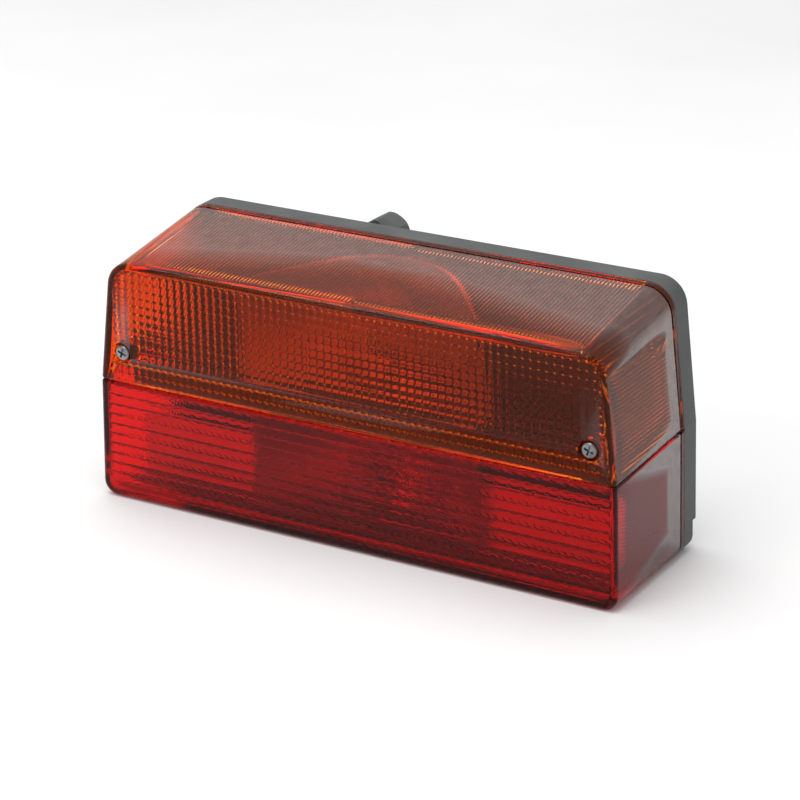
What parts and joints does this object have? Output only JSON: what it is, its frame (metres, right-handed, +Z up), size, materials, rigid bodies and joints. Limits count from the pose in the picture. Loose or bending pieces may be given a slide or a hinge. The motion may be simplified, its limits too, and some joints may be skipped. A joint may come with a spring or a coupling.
{
  "type": "trailer tail light",
  "caption": "Rectangular rear combination lamp for a trailer: ribbed amber indicator lens over a fluted red stop and tail lens, on a black housing with rear studs.",
  "frame": {"origin": "midway between the two mounting studs, on the plane of the mounting pads' faces", "axes": "+X to the right seen from the front, +Y out of the back along the studs, +Z up; the lamp shines towards -Y"},
  "size_m": [0.2446, 0.1025, 0.1152],
  "materials": {
    "black_plastic": "fine-grained moulded",
    "seal_rubber": "matt",
    "amber_acrylic": "clear moulded, prismatic inside",
    "red_acrylic": "clear moulded, fluted inside",
    "metallised_plastic": "vacuum metallised",
    "zinc_steel": "zinc plated",
    "terminal_plastic": "moulded",
    "nylon": "moulded",
    "brass": "stamped",
    "plated_brass": "nickel plated",
    "insulating_board": "laminated board",
    "spring_steel": "drawn wire",
    "bulb_glass": "clear blown",
    "black_glass": "fused",
    "solder": "soldered",
    "filament_wire": "drawn wire"
  },
  "bodies": {
    "base": {"housing": "black_plastic", "lens_gasket": "seal_rubber", "amber_reflector": "metallised_plastic", "red_reflector": "metallised_plastic", "reflector_screws": "zinc_steel", "socket_rivets": "brass", "terminal_block": "terminal_plastic", "terminal_clamps": "brass", "mounting_studs": "zinc_steel", "stud_washers": "zinc_steel", "stud_spring_washers": "zinc_steel", "cable_seal": "seal_rubber", "gland_washer": "nylon", "indicator_strip": "brass", "stop_strip": "brass", "tail_strip": "brass", "earth_strip": "brass", "amber_socket_shell": "plated_brass", "red_socket_shell": "plated_brass", "amber_socket_insulator": "insulating_board", "red_socket_insulator": "insulating_board", "amber_contact_springs": "spring_steel", "red_contact_springs": "spring_steel"},
    "lens": {"amber_lens": "amber_acrylic", "red_lens": "red_acrylic", "lens_screw_seals": "seal_rubber"},
    "left_lens_screw": {"left_lens_screw": "zinc_steel"},
    "right_lens_screw": {"right_lens_screw": "zinc_steel"},
    "left_mounting_nut": {"left_mounting_nut": "zinc_steel"},
    "right_mounting_nut": {"right_mounting_nut": "zinc_steel"},
    "gland_nut": {"gland_nut": "black_plastic"},
    "amber_contact": {"amber_contact_disc": "insulating_board", "amber_contact_pins": "brass"},
    "amber_bulb": {"amber_bulb_glass": "bulb_glass", "amber_bulb_cap": "brass", "amber_bulb_base": "black_glass", "amber_bulb_contacts": "solder", "amber_bulb_filaments": "filament_wire", "amber_bulb_supports": "filament_wire", "amber_bulb_stem": "bulb_glass"},
    "red_contact": {"red_contact_disc": "insulating_board", "red_contact_pins": "brass"},
    "red_bulb": {"red_bulb_glass": "bulb_glass", "red_bulb_cap": "brass", "red_bulb_base": "black_glass", "red_bulb_contacts": "solder", "red_bulb_filaments": "filament_wire", "red_bulb_supports": "filament_wire", "red_bulb_stem": "bulb_glass"},
    "indicator_terminal_screw": {"indicator_terminal_screw": "zinc_steel"},
    "stop_terminal_screw": {"stop_terminal_screw": "zinc_steel"},
    "tail_terminal_screw": {"tail_terminal_screw": "zinc_steel"},
    "earth_terminal_screw": {"earth_terminal_screw": "zinc_steel"}
  },
  "joints": [
    {"name": "lens_removal", "type": "slide", "parent": "base", "child": "lens", "axis": [0, -1, 0], "range_m": [0, 0.09]},
    {"name": "left_lens_screw_turn", "type": "hinge", "parent": "lens", "child": "left_lens_screw", "pos_m": [-0.1088, -0.07, 0.0301], "axis": [0, -1, 0], "continuous": true},
    {"name": "right_lens_screw_turn", "type": "hinge", "parent": "lens", "child": "right_lens_screw", "pos_m": [0.1088, -0.07, 0.0301], "axis": [0, -1, 0], "continuous": true},
    {"name": "left_nut_turn", "type": "hinge", "parent": "base", "child": "left_mounting_nut", "pos_m": [-0.076, 0.011, 0], "axis": [0, 1, 0], "continuous": true},
    {"name": "right_nut_turn", "type": "hinge", "parent": "base", "child": "right_mounting_nut", "pos_m": [0.076, 0.011, 0], "axis": [0, 1, 0], "continuous": true},
    {"name": "gland_nut_turn", "type": "hinge", "parent": "base", "child": "gland_nut", "pos_m": [-0.036, 0.02, 0.0655], "axis": [0, 1, 0], "continuous": true},
    {"name": "amber_bulb_push", "type": "slide", "parent": "base", "child": "amber_contact", "axis": [0, 1, 0], "range_m": [0, 0.002], "stiffness_N_per_m": 1500, "springref_m": -0.003, "deforming": ["amber_contact_springs"]},
    {"name": "amber_bulb_twist", "type": "hinge", "parent": "amber_contact", "child": "amber_bulb", "pos_m": [0, -0.022, 0.045], "axis": [0, -1, 0], "range_deg": [0, 20]},
    {"name": "red_bulb_push", "type": "slide", "parent": "base", "child": "red_contact", "axis": [0, 1, 0], "range_m": [0, 0.002], "stiffness_N_per_m": 1500, "springref_m": -0.003, "deforming": ["red_contact_springs"]},
    {"name": "red_bulb_twist", "type": "hinge", "parent": "red_contact", "child": "red_bulb", "pos_m": [0, -0.022, -0.0095], "axis": [0, -1, 0], "range_deg": [0, 20]},
    {"name": "indicator_terminal_screw_turn", "type": "hinge", "parent": "base", "child": "indicator_terminal_screw", "pos_m": [-0.059, -0.015, 0.008], "axis": [0, -1, 0], "continuous": true},
    {"name": "stop_terminal_screw_turn", "type": "hinge", "parent": "base", "child": "stop_terminal_screw", "pos_m": [-0.059, -0.015, -0.0035], "axis": [0, -1, 0], "continuous": true},
    {"name": "tail_terminal_screw_turn", "type": "hinge", "parent": "base", "child": "tail_terminal_screw", "pos_m": [-0.059, -0.015, -0.015], "axis": [0, -1, 0], "continuous": true},
    {"name": "earth_terminal_screw_turn", "type": "hinge", "parent": "base", "child": "earth_terminal_screw", "pos_m": [-0.059, -0.015, -0.0265], "axis": [0, -1, 0], "continuous": true}
  ]
}
